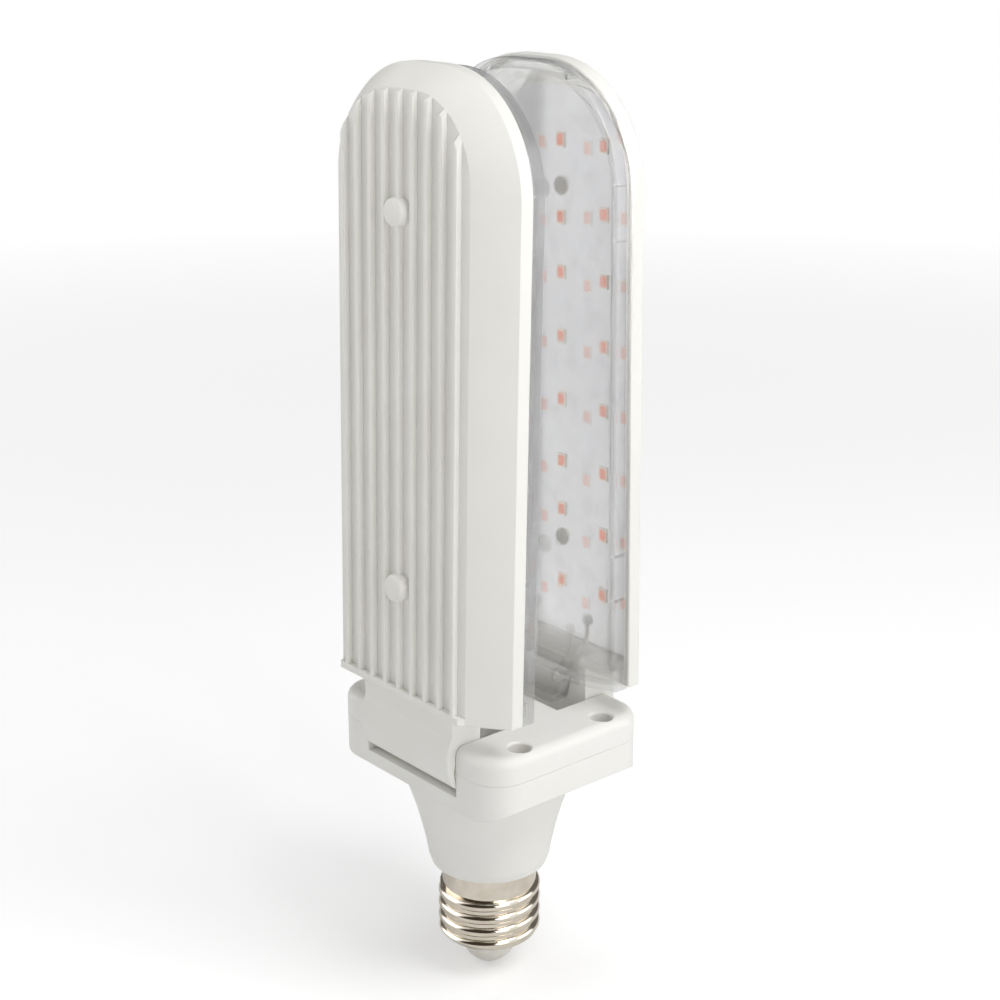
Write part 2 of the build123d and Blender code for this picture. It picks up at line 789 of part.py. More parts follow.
def back_shell():
    """Finned tray with the arm, the screw bosses and the rim that carries the cover."""
    wide = (petal_half_w, petal_top, petal_corner_r)
    base = (fin_half_w + fin_slope, fin_top + fin_slope, fin_corner_r + fin_slope)
    shell = bevelled(base, groove_x, wide, rim_back_x, petal_low, bevel_turn)
    shell += slab(arch(*wide, petal_low), rim_front_x, rim_back_x)
    shell += arm_body()
    shell += fin_field()
    for z in board_screw_zs:
        boss = bar_x(boss_r, floor_x, boss_x, 0, z - boss_drop)
        boss = fillet(boss.edges().sort_by(Axis.X)[-1], boss_edge)
        shell += boss
    mouth = (petal_half_w - shell_wall, petal_top - shell_wall, petal_corner_r - shell_wall)
    deep = (board_half_w + board_gap, board_top + board_top_gap, board_corner_r + board_gap)
    low = petal_low + shell_wall
    mouth_x = rim_back_x - mouth_step
    tray = bevelled(deep, floor_x, mouth, mouth_x, low, bevel_turn)
    tray += slab(arch(*mouth, low), rim_front_x, mouth_x)
    step_top = board_low - board_gap
    step = span_box(low_floor_x, floor_x + over, -petal_half_w, petal_half_w, low - over, step_top)
    shell -= tray - step
    pocket_y = arm_half_y - arm_wall
    shell -= span_box(rim_front_x, low_floor_x, -pocket_y, pocket_y, ledge_z, low + over)
    shell -= span_box(-duct_half_x, duct_half_x, -duct_half_y, duct_half_y, duct_low, ledge_z + over)
    for end in (-1, 1):
        shell -= bar_y(pin_r + press_gap, end * (duct_half_y - over), end * (arm_half_y + over))
        recess_y = arm_half_y - washer_t + washer_proud
        shell -= bar_y(washer_r + seat_gap, end * recess_y, end * (arm_half_y + over))
    screw_end = board_front_x + board_screw_l + part_gap
    for z in board_screw_zs:
        shell -= bar_x(board_screw_r + press_gap, floor_x - over, screw_end, 0, z)
    return shell


def hinge_pins():
    """Two hollow pins, fixed in the arm and turning in the ears."""
    inner = arm_half_y - pin_in_arm
    outer = trench_y - turn_gap
    pins = []
    for end in (-1, 1):
        pin = bar_y(pin_r, end * inner, end * outer)
        pins.append(pin - bar_y(pin_bore_r, end * inner, end * outer))
    return Compound(pins)


def friction_washers():
    """Washers in the arm's cheeks that rub on the ears and hold the petal's angle."""
    inner = arm_half_y - washer_t + washer_proud
    outer = inner + washer_t
    rings = []
    for end in (-1, 1):
        ring = bar_y(washer_r, end * inner, end * outer)
        rings.append(ring - bar_y(pin_r + seat_gap, end * inner, end * outer))
    return Compound(rings)


def led_places():
    """Places of the LEDs: three columns, with the middle one kept clear of the board screws."""
    places = []
    for column in (-1, 0, 1):
        for row in range(led_rows):
            z = led_first + row * led_pitch
            if column == 0:
                for screw in board_screw_zs:
                    if abs(z - screw) < led_screw_gap:
                        z = screw + math.copysign(led_screw_gap, z - screw)
            places.append((column * led_column_y, z))
    return places


def led_board():
    """White board of the LEDs."""
    board = slab(arch(board_half_w, board_top, board_corner_r, board_low), board_front_x, board_back_x)
    for z in board_screw_zs:
        board -= bar_x(board_screw_r + seat_gap, board_front_x, board_back_x, 0, z)
    return board


def led_window(y, z, x0, x1):
    """The rounded window of one LED between two depths."""
    pane = RectangleRounded(window_w, window_h, window_corner_r)
    return slab(Pos(y, z) * pane, x0, x1)


def led_packages():
    """Moulded bodies of the LEDs, each with its window pocket."""
    front = board_front_x - led_t
    bodies = []
    for y, z in led_places():
        body = span_box(front, board_front_x, y - led_w / 2, y + led_w / 2, z - led_h / 2, z + led_h / 2)
        bodies.append(body - led_window(y, z, front, front + window_depth))
    return Compound(bodies)


def led_phosphors():
    """Coral windows that fill the pockets."""
    front = board_front_x - led_t
    return Compound([led_window(y, z, front + window_sink, front + window_depth) for y, z in led_places()])


def board_screws():
    """Two screws that hold the board to the bosses."""
    screws = []
    for z in board_screw_zs:
        head = bar_x(board_screw_head_r, board_front_x - board_screw_head_h, board_front_x, 0, z)
        head = fillet(head.edges().sort_by(Axis.X)[0], board_screw_head_edge)
        cross = Box(2 * board_screw_cross_depth, board_screw_cross_w, board_screw_cross_l)
        for turn in (0, 90):
            head -= Pos(board_front_x - board_screw_head_h, 0, z) * Rot(turn, 0, 0) * cross
        screws.append(head + bar_x(board_screw_r, board_front_x, board_front_x + board_screw_l, 0, z))
    return Compound(screws)


def solder_joints():
    """Domed joints of the two feed wires on the board."""
    joints = []
    for end in (-1, 1):
        dome = bar_x(joint_r, board_front_x - joint_h, board_front_x, end * joint_y, joint_z)
        joints.append(fillet(dome.edges().sort_by(Axis.X)[0], joint_dome_r))
    return Compound(joints)


def feed_wires():
    """Two wires from the hollow pins up the arm to the joints on the board."""
    wires = []
    lift_x = board_front_x - joint_h + wire_r + feed_lift
    for end in (-1, 1):
        points = [
            (0, end * (trench_y - feed_start), 0),
            (0, end * feed_rise_y, 0),
            (0, end * feed_rise_y, ledge_z + feed_rise_over),
            (lift_x, end * joint_y, petal_low + feed_bend_z),
            (lift_x, end * joint_y, joint_z - joint_r + feed_end),
        ]
        wires.append(wire(points, wire_r, bend_radii(points)))
    return Compound(wires)


def cover_outline(inset):
    """The cover's outline with its bowed foot, drawn in by an inset."""
    half = petal_half_w - cover_inset - inset
    top = petal_top - cover_inset - inset
    corner = petal_corner_r - cover_inset - inset
    mid = cover_low_mid + inset
    side = cover_low_side + inset
    body = arch(half, top, corner, side)
    foot = make_face(Curve() + [
        Line((-half, side + over), (-half, side)),
        ThreePointArc((-half, side), (0, mid), (half, side)),
        Line((half, side), (half, side + over)),
        Line((half, side + over), (-half, side + over)),
    ])
    return body + foot


def tongue_outline(inset):
    """The tongue that hangs from the cover over the arm, drawn in by an inset."""
    high = cover_low_side + 2 * over
    low = tongue_low + inset
    top_half = tongue_half_top - inset
    low_half = tongue_half_low - inset
    corners = [(-top_half, high), (-low_half, low), (low_half, low), (top_half, high)]
    plain = make_face(Polyline(*corners, close=True))
    return fillet(plain.vertices().group_by(Axis.Y)[0], tongue_corner_r - inset / 2)


def clear_cover():
    """Clear window over the LEDs with its walls, its inner lip and its tongue."""
    body = slab(cover_outline(0.0), cover_front_x, rim_front_x)
    body = fillet(body.faces().sort_by(Axis.X)[0].edges(), cover_edge_r)
    body += slab(tongue_outline(0.0), cover_front_x + tongue_step, rim_front_x)
    hollow_x = cover_front_x + cover_wall
    body -= slab(cover_outline(cover_wall), hollow_x, rim_front_x)
    body -= slab(tongue_outline(cover_wall), hollow_x, rim_front_x)
    lip_half = petal_half_w - shell_wall - seat_gap
    lip_top = petal_top - shell_wall - seat_gap
    lip_corner = petal_corner_r - shell_wall - seat_gap
    lip_face = arch(lip_half, lip_top, lip_corner, cover_lip_low)
    lip_face -= arch(lip_half - cover_lip_w, lip_top - cover_lip_w, lip_corner - cover_lip_w, cover_lip_low)
    return body + slab(lip_face, cover_front_x + cover_wall / 2, rim_front_x + cover_lip)


def place_b(shape):
    """Moves a petal's piece to its place on the +X side, toed in."""
    return Pos(hinge_x, 0, block_seam_z) * Rot(0, -toe_in, 0) * shape


def place_a(shape):
    """The same piece on the -X side, mirrored."""
    return mirror(place_b(shape), about=Plane.YZ)


base_pieces = {
    "screw_shell": screw_shell,
    "cap_insulator": cap_insulator,
    "centre_contact": centre_contact,
    "lower_housing": lower_housing,
    "upper_cover": upper_cover,
    "housing_screws": housing_screws,
    "driver_board": driver_board,
    "filter_capacitor": filter_capacitor,
    "choke_core": choke,
    "choke_winding": choke_winding,
    "bridge_rectifier": bridge_rectifier,
    "fuse_resistor": fuse_resistor,
    "shell_lead": shell_lead,
    "contact_lead": contact_lead,
    "base_feed_wires": base_feed_wires,
}

petal_pieces = {
    "back_shell": back_shell,
    "hinge_pins": hinge_pins,
    "friction_washers": friction_washers,
    "led_board": led_board,
    "led_packages": led_packages,
    "led_phosphors": led_phosphors,
    "board_screws": board_screws,
    "solder_joints": solder_joints,
    "feed_wires": feed_wires,
    "clear_cover": clear_cover,
}

os.makedirs("parts", exist_ok=True)

for name, make in base_pieces.items():
    export_step(make(), f"parts/{name}.step")

for name, make in petal_pieces.items():
    piece = make()
    export_step(place_a(piece), f"parts/{name}_a.step")
    export_step(place_b(piece), f"parts/{name}_b.step")
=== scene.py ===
# %% [markdown]
# # A grow bulb with two folding petals
# This lesson dresses a finished CAD model for a photograph. The CAD model gives every place and every
# size, in metres, and what is modelled here sits exactly on it. The bulb stands on the tip of its screw
# cap at the origin, with +Z up. One petal shows its finned back on the -X side, and the other one shows
# its clear cover on the +X side.

# %% Load the CAD model
import math

import bmesh
import bpy
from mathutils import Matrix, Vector


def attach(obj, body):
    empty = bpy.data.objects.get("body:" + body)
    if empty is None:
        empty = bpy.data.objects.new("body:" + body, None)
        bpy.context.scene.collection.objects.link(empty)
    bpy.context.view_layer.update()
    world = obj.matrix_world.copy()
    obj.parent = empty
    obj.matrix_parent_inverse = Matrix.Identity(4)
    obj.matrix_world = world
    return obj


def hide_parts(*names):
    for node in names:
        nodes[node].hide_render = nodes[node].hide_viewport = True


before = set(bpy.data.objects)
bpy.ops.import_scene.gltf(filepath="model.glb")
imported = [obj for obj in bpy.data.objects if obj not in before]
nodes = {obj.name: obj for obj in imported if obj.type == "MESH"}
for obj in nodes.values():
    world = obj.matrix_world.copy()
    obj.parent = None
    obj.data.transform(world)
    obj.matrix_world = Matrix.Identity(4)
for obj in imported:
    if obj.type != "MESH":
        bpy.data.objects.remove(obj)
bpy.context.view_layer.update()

mm = 0.001

# %% [markdown]
# ## The camera
# The photograph looks down on the bulb from the side of the finned petal's near edge. A long lens keeps
# the tall petals almost parallel. The camera's place was worked out from straight edges of known length,
# so the render can be laid over the photograph.

# %% Camera
camera_at = Vector((-281.4, -333.2, 271.6)) * mm
camera_along = Vector((0.6173, 0.7215, -0.3136))
bpy.ops.object.camera_add(location=camera_at, rotation=camera_along.to_track_quat("-Z", "Y").to_euler())
camera = bpy.context.object
camera.name = "camera"
camera.data.sensor_width = 36
camera.data.lens = 68.04
camera.data.clip_start = 10 * mm
camera.data.clip_end = 60
bpy.context.scene.camera = camera
bpy.context.scene.view_settings.view_transform = "Standard"
print("Camera", [round(v / mm) for v in camera_at])

# %% [markdown]
# ## Writing colours
# Colours are picked as they look on a screen, from 0 to 255. The shader wants linear light, so a small
# helper turns one into the other.


# %% Colour helper
def paint(red, green, blue):
    """A screen colour as the linear light that a shader takes."""
    linear = []
    for value in (red, green, blue):
        share = value / 255
        linear.append(share / 12.92 if share <= 0.04045 else ((share + 0.055) / 1.055) ** 2.4)
    return (*linear, 1.0)


print("Middle grey in linear light", round(paint(128, 128, 128)[0], 3))

# %% [markdown]
# ## The studio
# A catalogue photograph has a white sweep and large soft lamps. The white of the world is what the camera
# and the clear plastic see. The light that it casts is kept low, so that the lamps do the modelling of
# the shapes. Polished metal shows more of the studio: a white screen on the left, another on the right,
# and the dark room behind the camera between them. So reflections see a world painted around the compass.


# %% World helpers
def mixed(tree, share, first, second):
    """One shader laid over another by a share."""
    over = tree.nodes.new("ShaderNodeMixShader")
    tree.links.new(share, over.inputs["Fac"])
    tree.links.new(first, over.inputs[1])
    tree.links.new(second, over.inputs[2])
    return over.outputs[0]


def worked_out(tree, operation, first, second):
    """One Math node on two sources."""
    step = tree.nodes.new("ShaderNodeMath")
    step.operation = operation
    tree.links.new(first, step.inputs[0])
    tree.links.new(second, step.inputs[1])
    return step.outputs[0]


# %% World
world = bpy.data.worlds.new("studio_world")
bpy.context.scene.world = world
world.use_nodes = True
tree = world.node_tree
ambient = tree.nodes["Background"]
ambient.inputs["Color"].default_value = (1, 1, 1, 1)
ambient.inputs["Strength"].default_value = 0.30
seen = tree.nodes.new("ShaderNodeBackground")
seen.inputs["Color"].default_value = (1, 1, 1, 1)
seen.inputs["Strength"].default_value = 1.0
rays = tree.nodes.new("ShaderNodeLightPath")
direct = worked_out(tree, "MAXIMUM", rays.outputs["Is Camera Ray"], rays.outputs["Is Transmission Ray"])

around = tree.nodes.new("ShaderNodeTexCoord")
way = tree.nodes.new("ShaderNodeSeparateXYZ")
tree.links.new(around.outputs["Generated"], way.inputs[0])
turned = worked_out(tree, "ARCTAN2", way.outputs["Y"], way.outputs["X"])
compass = tree.nodes.new("ShaderNodeMapRange")
compass.inputs["From Min"].default_value = -math.pi
compass.inputs["From Max"].default_value = math.pi
tree.links.new(turned, compass.inputs["Value"])
screens = tree.nodes.new("ShaderNodeValToRGB")
room, wall, screen = (0.055, 0.045, 0.035), (0.16, 0.155, 0.15), (1.0, 1.0, 1.0)
marks = [
    (-180, room), (-114, room), (-106, screen), (-38, screen), (-26, wall), (60, wall),
    (92, wall), (102, screen), (156, screen), (166, room),
]
stops = screens.color_ramp.elements
for _ in marks[2:]:
    stops.new(0.5)
for stop, (degrees, tone) in zip(stops, marks):
    stop.position = (degrees + 180) / 360
    stop.color = (*tone, 1)
tree.links.new(compass.outputs["Result"], screens.inputs["Fac"])
mirrored = tree.nodes.new("ShaderNodeBackground")
mirrored.inputs["Strength"].default_value = 1.0
tree.links.new(screens.outputs["Color"], mirrored.inputs["Color"])

gloss = mixed(tree, rays.outputs["Is Glossy Ray"], ambient.outputs[0], mirrored.outputs[0])
tree.links.new(mixed(tree, direct, gloss, seen.outputs[0]), tree.nodes["World Output"].inputs["Surface"])
print("World nodes", len(tree.nodes), "stops", [round(stop.position, 2) for stop in stops])

# %% [markdown]
# ## The floor
# The floor is a wide disc of white board. Near the bulb it is an ordinary matt surface that takes the
# shadow, lifted a little for the camera so that the open floor is pure white. Far away it only shows
# white, because no lamp reaches there.

# %% Floor
floor_r, floor_lift, fade_from, fade_to = 14, 0.31, 0.35, 1.1
bpy.ops.mesh.primitive_circle_add(vertices=96, radius=floor_r, fill_type="NGON", location=(0, 0, 0))
floor = bpy.context.object
floor.name = "floor"
board = bpy.data.materials.new("floor_board")
board.use_nodes = True
tree = board.node_tree
matt = tree.nodes["Principled BSDF"]
matt.inputs["Base Color"].default_value = paint(238, 238, 238)
matt.inputs["Roughness"].default_value = 0.9
matt.inputs["Specular IOR Level"].default_value = 0.0
lift = tree.nodes.new("ShaderNodeEmission")
lift.inputs["Color"].default_value = (1, 1, 1, 1)
glow = tree.nodes.new("ShaderNodeLightPath")
add = tree.nodes.new("ShaderNodeAddShader")
lift_by = tree.nodes.new("ShaderNodeMath")
lift_by.operation = "MULTIPLY"
lift_by.inputs[1].default_value = floor_lift
tree.links.new(glow.outputs["Is Camera Ray"], lift_by.inputs[0])
tree.links.new(lift_by.outputs[0], lift.inputs["Strength"])
tree.links.new(matt.outputs[0], add.inputs[0])
tree.links.new(lift.outputs[0], add.inputs[1])
white = tree.nodes.new("ShaderNodeEmission")
white.inputs["Color"].default_value = (1, 1, 1, 1)
place = tree.nodes.new("ShaderNodeTexCoord")
reach = tree.nodes.new("ShaderNodeVectorMath")
reach.operation = "LENGTH"
fade = tree.nodes.new("ShaderNodeMapRange")
fade.inputs["From Min"].default_value = fade_from
fade.inputs["From Max"].default_value = fade_to
tree.links.new(place.outputs["Object"], reach.inputs[0])
tree.links.new(reach.outputs["Value"], fade.inputs["Value"])
sweep = mixed(tree, fade.outputs["Result"], add.outputs[0], white.outputs[0])
tree.links.new(sweep, tree.nodes["Material Output"].inputs["Surface"])
floor.data.materials.append(board)
print("Floor radius in m", floor_r)

# %% [markdown]
# ## The lamps
# The near side of the hinge block is the brightest, and the shadow falls to the left and back. So the
# main lamp stands above the camera, and a wide one stands to its right. The ribs of the finned back
# shade the floors between them on their near side, so a large screen lights them from the left, from
# behind. A weak lamp looks into the gap between the petals, and one hangs overhead. The board in that
# gap gets little of this light, so a narrow slit lamp throws a level strip of light on it. When the petals
# are opened, the strip passes over them.


# %% Lamps
def soft_lamp(name, at, aim, width, height, watts):
    """A rectangular lamp at a place, aimed at a point."""
    way = Vector(aim) - Vector(at)
    bpy.ops.object.light_add(type="AREA", location=at, rotation=way.to_track_quat("-Z", "Y").to_euler())
    lamp = bpy.context.object
    lamp.name = name
    lamp.data.shape = "RECTANGLE"
    lamp.data.size = width
    lamp.data.size_y = height
    lamp.data.energy = watts
    return lamp


middle = (0, 0, 0.11)
lamps = [
    soft_lamp("key_lamp", (0.08, -0.58, 0.95), middle, 0.45, 0.45, 4.0),
    soft_lamp("side_lamp", (0.75, -0.75, 0.35), middle, 0.8, 0.8, 2.2),
    soft_lamp("left_lamp", (-0.60, 0.80, 0.45), middle, 1.0, 0.8, 2.6),
    soft_lamp("front_lamp", (-0.25, -0.95, 0.40), middle, 0.5, 0.5, 1.8),
    soft_lamp("top_lamp", (0, 0, 1.25), middle, 0.6, 0.6, 2.2),
]
gap_z = 0.158
slit = soft_lamp("slit_lamp", (-0.186, -0.230, gap_z), (0.0138, -0.018, gap_z), 0.020, 0.142, 0.008)
slit.data.spread = math.radians(1)
slit.visible_camera = False
slit.visible_glossy = False
slit.visible_transmission = False
lamps.append(slit)
print("Lamps", [(lamp.name, lamp.data.energy) for lamp in lamps])

# %% [markdown]
# ## Finishes
# Every finish starts in the same way: a new material, its main shader, and the place on the object as
# the source of all its patterns. A pattern on Object coordinates has a real scale, because one unit is
# one metre, and it stays on the piece when the piece moves.


# %% Finish helpers
def new_finish(name):
    """A new material, with its node tree and its main shader."""
    finish = bpy.data.materials.new(name)
    finish.use_nodes = True
    return finish, finish.node_tree, finish.node_tree.nodes["Principled BSDF"]


def grain(tree, size, detail=2.0, stretch=(1, 1, 1)):
    """Noise whose grains have a size in metres, drawn out along an axis if asked."""
    place = tree.nodes.new("ShaderNodeTexCoord")
    scale = tree.nodes.new("ShaderNodeMapping")
    scale.inputs["Scale"].default_value = stretch
    noise = tree.nodes.new("ShaderNodeTexNoise")
    noise.inputs["Scale"].default_value = 1 / size
    noise.inputs["Detail"].default_value = detail
    tree.links.new(place.outputs["Object"], scale.inputs["Vector"])
    tree.links.new(scale.outputs["Vector"], noise.inputs["Vector"])
    return noise.outputs["Fac"]


def two_tones(tree, source, first, second, low=0.35, high=0.65):
    """A colour that runs from one tone to the other with a pattern."""
    ramp = tree.nodes.new("ShaderNodeValToRGB")
    ramp.color_ramp.elements[0].position = low
    ramp.color_ramp.elements[0].color = first
    ramp.color_ramp.elements[1].position = high
    ramp.color_ramp.elements[1].color = second
    tree.links.new(source, ramp.inputs["Fac"])
    return ramp.outputs["Color"]


def between(tree, source, low, high):
    """A number that runs between two values with a pattern."""
    span = tree.nodes.new("ShaderNodeMapRange")
    span.inputs["From Min"].default_value = 0.3
    span.inputs["From Max"].default_value = 0.7
    span.inputs["To Min"].default_value = low
    span.inputs["To Max"].default_value = high
    tree.links.new(source, span.inputs["Value"])
    return span.outputs["Result"]


def relief(tree, source, depth, normal=None):
    """A normal that follows a pattern of a small depth in metres."""
    bump = tree.nodes.new("ShaderNodeBump")
    bump.inputs["Strength"].default_value = 1.0
    bump.inputs["Distance"].default_value = depth
    tree.links.new(source, bump.inputs["Height"])
    if normal is not None:
        tree.links.new(normal, bump.inputs["Normal"])
    return bump.outputs["Normal"]


def soft_edges(tree, radius):
    """A normal that rounds the sharp edges of a moulding."""
    bevel = tree.nodes.new("ShaderNodeBevel")
    bevel.samples = 4
    bevel.inputs["Radius"].default_value = radius
    return bevel.outputs["Normal"]


print("Helpers ready")


# %% Moulded plastic
def moulded(name, light, dark, roughness, texture, edge):
    """White plastic: a slow drift of tone, a fine sparked grain and softened edges."""
    finish, tree, shader = new_finish(name)
    drift = grain(tree, 22 * mm, 2.0)
    fine = grain(tree, 0.22 * mm, 2.0)
    tree.links.new(two_tones(tree, drift, dark, light), shader.inputs["Base Color"])
    tree.links.new(between(tree, fine, roughness - 0.05, roughness + 0.05), shader.inputs["Roughness"])
    rounded = soft_edges(tree, edge)
    tree.links.new(relief(tree, fine, texture, rounded), shader.inputs["Normal"])
    shader.inputs["IOR"].default_value = 1.49
    return finish


shell_white = moulded(
    "shell_white", paint(241, 240, 235), paint(238, 237, 231), 0.42, 0.010 * mm, 0.30 * mm
)
housing_white = moulded(
    "housing_white", paint(242, 241, 237), paint(240, 239, 234), 0.38, 0.006 * mm, 0.35 * mm
)
print("Plastics", shell_white.name, housing_white.name)


# %% Metals
def metal(name, light, dark, roughness, stretch=(1, 1, 1)):
    """Plated metal: a warm tone with faint stains and fine wiping marks."""
    finish, tree, shader = new_finish(name)
    stain = grain(tree, 3 * mm, 3.0)
    wipe = grain(tree, 0.25 * mm, 2.0, stretch)
    tree.links.new(two_tones(tree, stain, dark, light), shader.inputs["Base Color"])
    tree.links.new(between(tree, wipe, roughness * 0.7, roughness * 1.3), shader.inputs["Roughness"])
    shader.inputs["Metallic"].default_value = 1.0
    return finish


nickel = metal("nickel_plate", paint(232, 224, 210), paint(222, 212, 196), 0.13, (1, 1, 12))
screw_steel = metal("screw_nickel", paint(206, 203, 192), paint(186, 180, 166), 0.24)
pin_steel = metal("pin_steel", paint(196, 196, 194), paint(176, 175, 172), 0.22)
tin = metal("contact_tin", paint(206, 206, 204), paint(184, 183, 180), 0.30)
solder_tin = metal("solder_tin", paint(214, 214, 212), paint(190, 190, 188), 0.26)
copper = metal("copper_wire", paint(196, 118, 72), paint(176, 98, 56), 0.28)
print("Metals", len([nickel, screw_steel, pin_steel, tin, solder_tin, copper]))


# %% [markdown]
# ## Clear plastic
# A clear moulding bends what is behind it and mirrors what stands beside it. Real refraction alone turns
# thin walls seen on edge black, because the light inside is thrown to and fro too often to be followed.
# So over half of the light goes straight through, a little greyer where the wall is seen at a slant,
# and only the outer faces mirror in that share, because an inner face would mirror all of it at a slant.

# %% Clear plastic
plastic_ior = 1.46


def clear(name, roughness, straight):
    """Clear moulded plastic: refraction, mixed with a share of light that goes straight through."""
    finish, tree, shader = new_finish(name)
    haze = grain(tree, 9 * mm, 2.0)
    tree.links.new(between(tree, haze, roughness * 0.6, roughness * 1.4), shader.inputs["Roughness"])
    shader.inputs["Base Color"].default_value = (1.0, 1.0, 1.0, 1.0)
    shader.inputs["IOR"].default_value = plastic_ior
    shader.inputs["Transmission Weight"].default_value = 1.0
    slant = tree.nodes.new("ShaderNodeLayerWeight")
    slant.inputs["Blend"].default_value = 0.35
    thin = tree.nodes.new("ShaderNodeBsdfTransparent")
    tone = two_tones(tree, slant.outputs["Facing"], (1, 1, 1, 1), paint(243, 246, 250), 0.45, 0.95)
    tree.links.new(tone, thin.inputs["Color"])
    shine = tree.nodes.new("ShaderNodeBsdfGlossy")
    shine.inputs["Roughness"].default_value = 0.05
    mirror = tree.nodes.new("ShaderNodeFresnel")
    mirror.inputs["IOR"].default_value = plastic_ior
    side_seen = tree.nodes.new("ShaderNodeNewGeometry")
    outside = tree.nodes.new("ShaderNodeMath")
    outside.operation = "SUBTRACT"
    outside.inputs[0].default_value = 1
    tree.links.new(side_seen.outputs["Backfacing"], outside.inputs[1])
    front_mirror = worked_out(tree, "MULTIPLY", mirror.outputs["Fac"], outside.outputs[0])
    film = mixed(tree, front_mirror, thin.outputs[0], shine.outputs[0])
    share = grain(tree, 40 * mm, 0.0)
    body = mixed(tree, between(tree, share, straight - 0.03, straight + 0.03), shader.outputs[0], film)
    open_way = tree.nodes.new("ShaderNodeBsdfTransparent")
    open_way.inputs["Color"].default_value = (0.985, 0.985, 0.99, 1.0)
    rays = tree.nodes.new("ShaderNodeLightPath")
    passing = worked_out(tree, "MAXIMUM", rays.outputs["Is Shadow Ray"], rays.outputs["Is Diffuse Ray"])
    whole = mixed(tree, passing, body, open_way.outputs[0])
    tree.links.new(whole, tree.nodes["Material Output"].inputs["Surface"])
    return finish


clear_plastic = clear("clear_cover_plastic", 0.02, 0.62)
print("Clear plastic", clear_plastic.name)


# %% Small finishes
def plain_moulded(name, light, dark, roughness, size, texture):
    """A moulded or lacquered piece with its own grain."""
    finish, tree, shader = new_finish(name)
    spots = grain(tree, size, 2.0)
    tree.links.new(two_tones(tree, spots, dark, light), shader.inputs["Base Color"])
    tree.links.new(between(tree, spots, roughness - 0.05, roughness + 0.05), shader.inputs["Roughness"])
    tree.links.new(relief(tree, spots, texture), shader.inputs["Normal"])
    return finish


plain = {}
for name, light, dark, roughness, size, texture in (
    ("cap_cream", (236, 234, 226), (230, 227, 217), 0.35, 2, 0.01),
    ("board_lacquer", (246, 246, 246), (242, 242, 243), 0.3, 6, 0.01),
    ("led_cream", (240, 236, 222), (232, 226, 208), 0.4, 0.6, 0.01),
    ("phosphor_coral", (250, 152, 118), (242, 138, 104), 0.25, 0.5, 0.01),
    ("washer_nylon", (226, 224, 214), (214, 211, 200), 0.45, 1, 0.01),
    ("green_board", (46, 112, 72), (38, 96, 60), 0.35, 3, 0.01),
    ("black_sleeve", (34, 34, 38), (26, 26, 28), 0.4, 2, 0.01),
    ("ferrite", (58, 54, 54), (44, 42, 42), 0.6, 0.6, 0.03),
    ("resistor_lacquer", (120, 160, 178), (108, 146, 164), 0.4, 0.8, 0.02),
    ("lead_black", (40, 40, 40), (30, 30, 30), 0.45, 1, 0.01),
    ("lead_red", (176, 42, 36), (156, 34, 30), 0.45, 1, 0.01),
    ("lead_white", (232, 230, 224), (220, 217, 209), 0.45, 1, 0.01),
):
    plain[name] = plain_moulded(name, paint(*light), paint(*dark), roughness, size * mm, texture * mm)
print("Small finishes", len(plain))

# %% [markdown]
# ## Working by hand in code
# The operators of edit mode act on whatever is selected. So each step first picks faces, edges or
# points by their place, and then calls one operator on them. These few helpers do the picking, start a
# piece from a primitive, and close it again with its place kept in the mesh.


# %% Modelling helpers
def let_go():
    """Leave edit mode and select nothing."""
    if bpy.context.object is not None and bpy.context.object.mode != "OBJECT":
        bpy.ops.object.mode_set(mode="OBJECT")
    bpy.ops.object.select_all(action="DESELECT")


def only(piece):
    """Make one piece the selected and active one."""
    let_go()
    piece.select_set(True)
    bpy.context.view_layer.objects.active = piece


def edit(name):
    """Name the primitive just added, keep its place in its mesh, and open it for editing."""
    piece = bpy.context.object
    piece.name = name
    piece.data.name = name
    bpy.ops.object.transform_apply(location=True, rotation=True, scale=True)
    bpy.ops.object.mode_set(mode="EDIT")
    return piece


def pick(kind, test):
    """In edit mode, select the faces, edges or points that pass a test, and nothing else."""
    bpy.ops.mesh.select_mode(type=kind)
    bpy.ops.mesh.select_all(action="DESELECT")
    mesh = bmesh.from_edit_mesh(bpy.context.object.data)
    found = 0
    items = {"VERT": mesh.verts, "EDGE": mesh.edges, "FACE": mesh.faces}[kind]
    for item in items:
        if kind == "VERT":
            passed = test(item.co / mm)
        elif kind == "EDGE":
            ends = [corner.co / mm for corner in item.verts]
            passed = test(ends[0], ends[1])
        else:
            passed = test(item.calc_center_median() / mm, item.normal)
        item.select_set(passed)
        found += passed
    mesh.select_flush_mode()
    bmesh.update_edit_mesh(bpy.context.object.data)
    return found


def near(value, target, slack=0.02):
    """Whether a value is at its target, in millimetres."""
    return abs(value - target) < slack


def apply_modifier(piece, kind, **settings):
    """Add a modifier with its settings and apply it."""
    only(piece)
    bpy.ops.object.modifier_add(type=kind)
    modifier = piece.modifiers[-1]
    for setting, value in settings.items():
        setattr(modifier, setting, value)
    bpy.ops.object.modifier_apply(modifier=modifier.name)


def cut_with(piece, tool, operation="DIFFERENCE"):
    """Cut a piece with a tool, or join the tool to it, and throw the tool away."""
    apply_modifier(piece, "BOOLEAN", operation=operation, solver="EXACT", object=tool)
    bpy.data.objects.remove(tool)


def join_up(pieces, name):
    """Join several pieces into the first one."""
    let_go()
    for piece in pieces:
        piece.select_set(True)
    bpy.context.view_layer.objects.active = pieces[0]
    if len(pieces) > 1:
        bpy.ops.object.join()
    pieces[0].name = name
    pieces[0].data.name = name
    return pieces[0]


